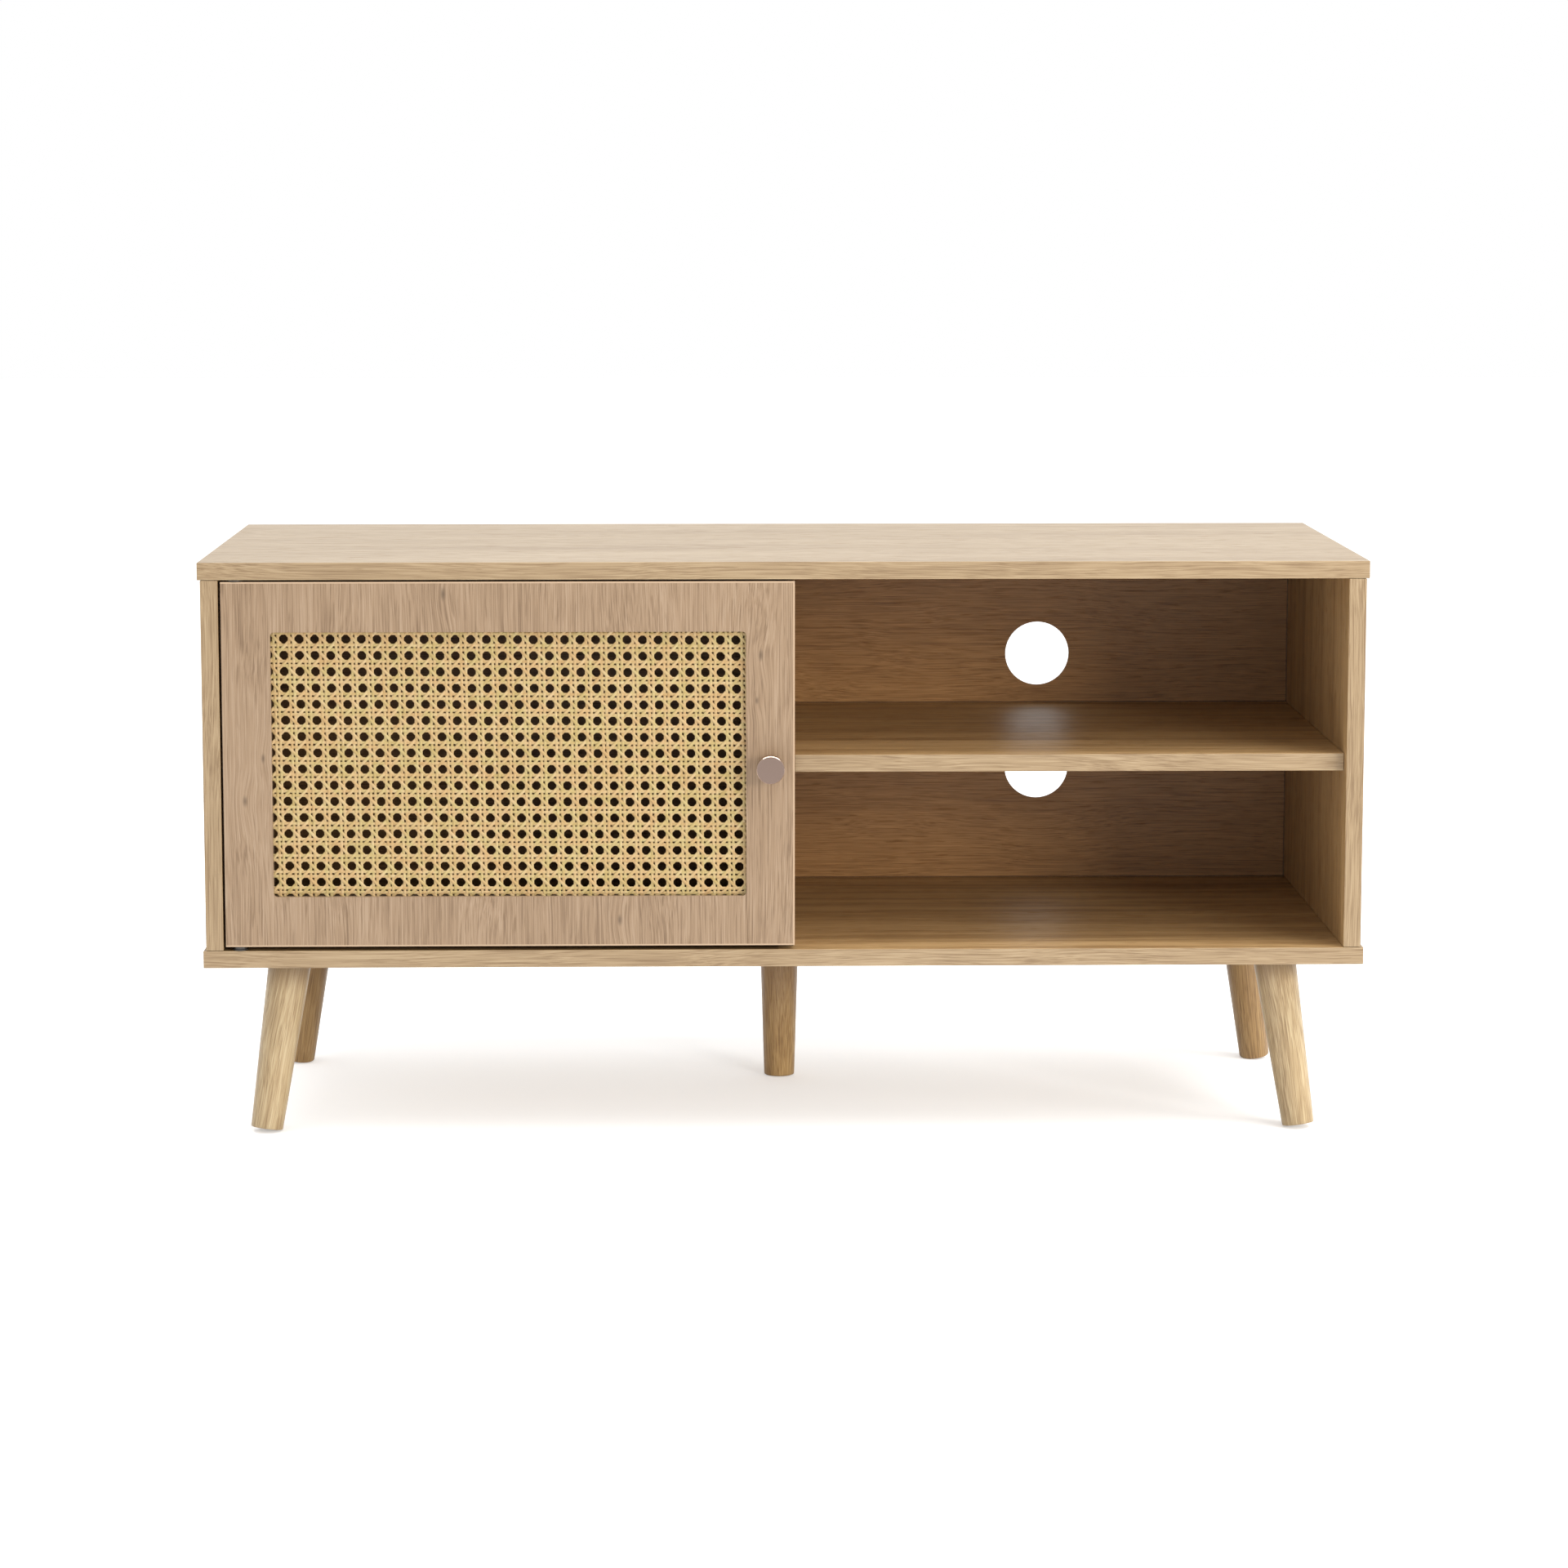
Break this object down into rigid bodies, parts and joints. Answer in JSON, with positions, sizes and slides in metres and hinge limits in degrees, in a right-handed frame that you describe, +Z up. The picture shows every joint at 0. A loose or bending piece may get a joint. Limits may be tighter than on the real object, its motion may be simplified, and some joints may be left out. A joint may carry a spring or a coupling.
{
  "type": "tv stand with cane door",
  "caption": "Low oak-look TV stand on splayed turned legs, with a cane-panel door hinged at the left, an open bay with a fixed shelf, and round cable holes in the back.",
  "frame": {"origin": "on the floor, under the centre of the whole object's box, the knob included", "axes": "+X along the width to the right as seen from the front, -Y towards the front, +Z up"},
  "size_m": [1, 0.422, 0.505],
  "materials": {
    "carcass_oak": "pale oak melamine, satin",
    "door_oak": "washed pinkish oak melamine, satin",
    "back_oak": "oak paper on thin fibreboard, satin",
    "leg_oak": "clear lacquered oak",
    "dowel_beech": "raw beech",
    "cane": "natural woven rattan cane, satin skin",
    "knob_metal": "brushed rose-gold plating",
    "steel": "zinc-plated steel",
    "black_steel": "black powder coat",
    "nylon": "dark moulded nylon",
    "catch_plastic": "brown moulded plastic",
    "clear_bumper": "clear soft polyurethane"
  },
  "bodies": {
    "carcass": {"top_panel": "carcass_oak", "bottom_panel": "carcass_oak", "side_panel_left": "carcass_oak", "side_panel_right": "carcass_oak", "divider_panel": "carcass_oak", "shelf": "carcass_oak", "back_panel": "back_oak", "hinge_bush_upper": "nylon", "hinge_bush_lower": "nylon", "thrust_washer": "nylon", "catch_housing": "catch_plastic", "catch_magnet": "black_steel", "catch_screw_upper": "steel", "catch_screw_lower": "steel", "door_bumper_upper": "clear_bumper", "door_bumper_lower": "clear_bumper", "top_dowel_left_front": "dowel_beech", "top_dowel_left_rear": "dowel_beech", "top_dowel_middle_front": "dowel_beech", "top_dowel_middle_rear": "dowel_beech", "top_dowel_right_front": "dowel_beech", "top_dowel_right_rear": "dowel_beech", "shelf_dowel_left_front": "dowel_beech", "shelf_dowel_left_rear": "dowel_beech", "shelf_dowel_right_front": "dowel_beech", "shelf_dowel_right_rear": "dowel_beech", "connecting_screw_left_front": "steel", "connecting_screw_left_rear": "steel", "connecting_screw_middle_front": "steel", "connecting_screw_middle_rear": "steel", "connecting_screw_right_front": "steel", "connecting_screw_right_rear": "steel", "leg_front_left": "leg_oak", "leg_front_right": "leg_oak", "leg_rear_left": "leg_oak", "leg_rear_right": "leg_oak", "leg_centre": "leg_oak", "leg_plate_front_left": "black_steel", "leg_plate_front_right": "black_steel", "leg_plate_rear_left": "black_steel", "leg_plate_rear_right": "black_steel", "leg_plate_centre": "black_steel", "hanger_bolt_front_left": "steel", "hanger_bolt_front_right": "steel", "hanger_bolt_rear_left": "steel", "hanger_bolt_rear_right": "steel", "hanger_bolt_centre": "steel"},
    "door": {"door_frame": "door_oak", "cane_webbing": "cane", "cane_bead_top": "door_oak", "cane_bead_bottom": "door_oak", "cane_bead_left": "door_oak", "cane_bead_right": "door_oak", "knob": "knob_metal", "knob_screw": "steel", "hinge_pin_upper": "steel", "hinge_pin_lower": "steel", "strike_plate": "steel", "strike_screw": "steel"}
  },
  "joints": [
    {"name": "door_hinge", "type": "hinge", "parent": "carcass", "child": "door", "pos_m": [-0.4685, -0.183, 0.331], "axis": [0, 0, -1], "range_deg": [0, 110]}
  ]
}
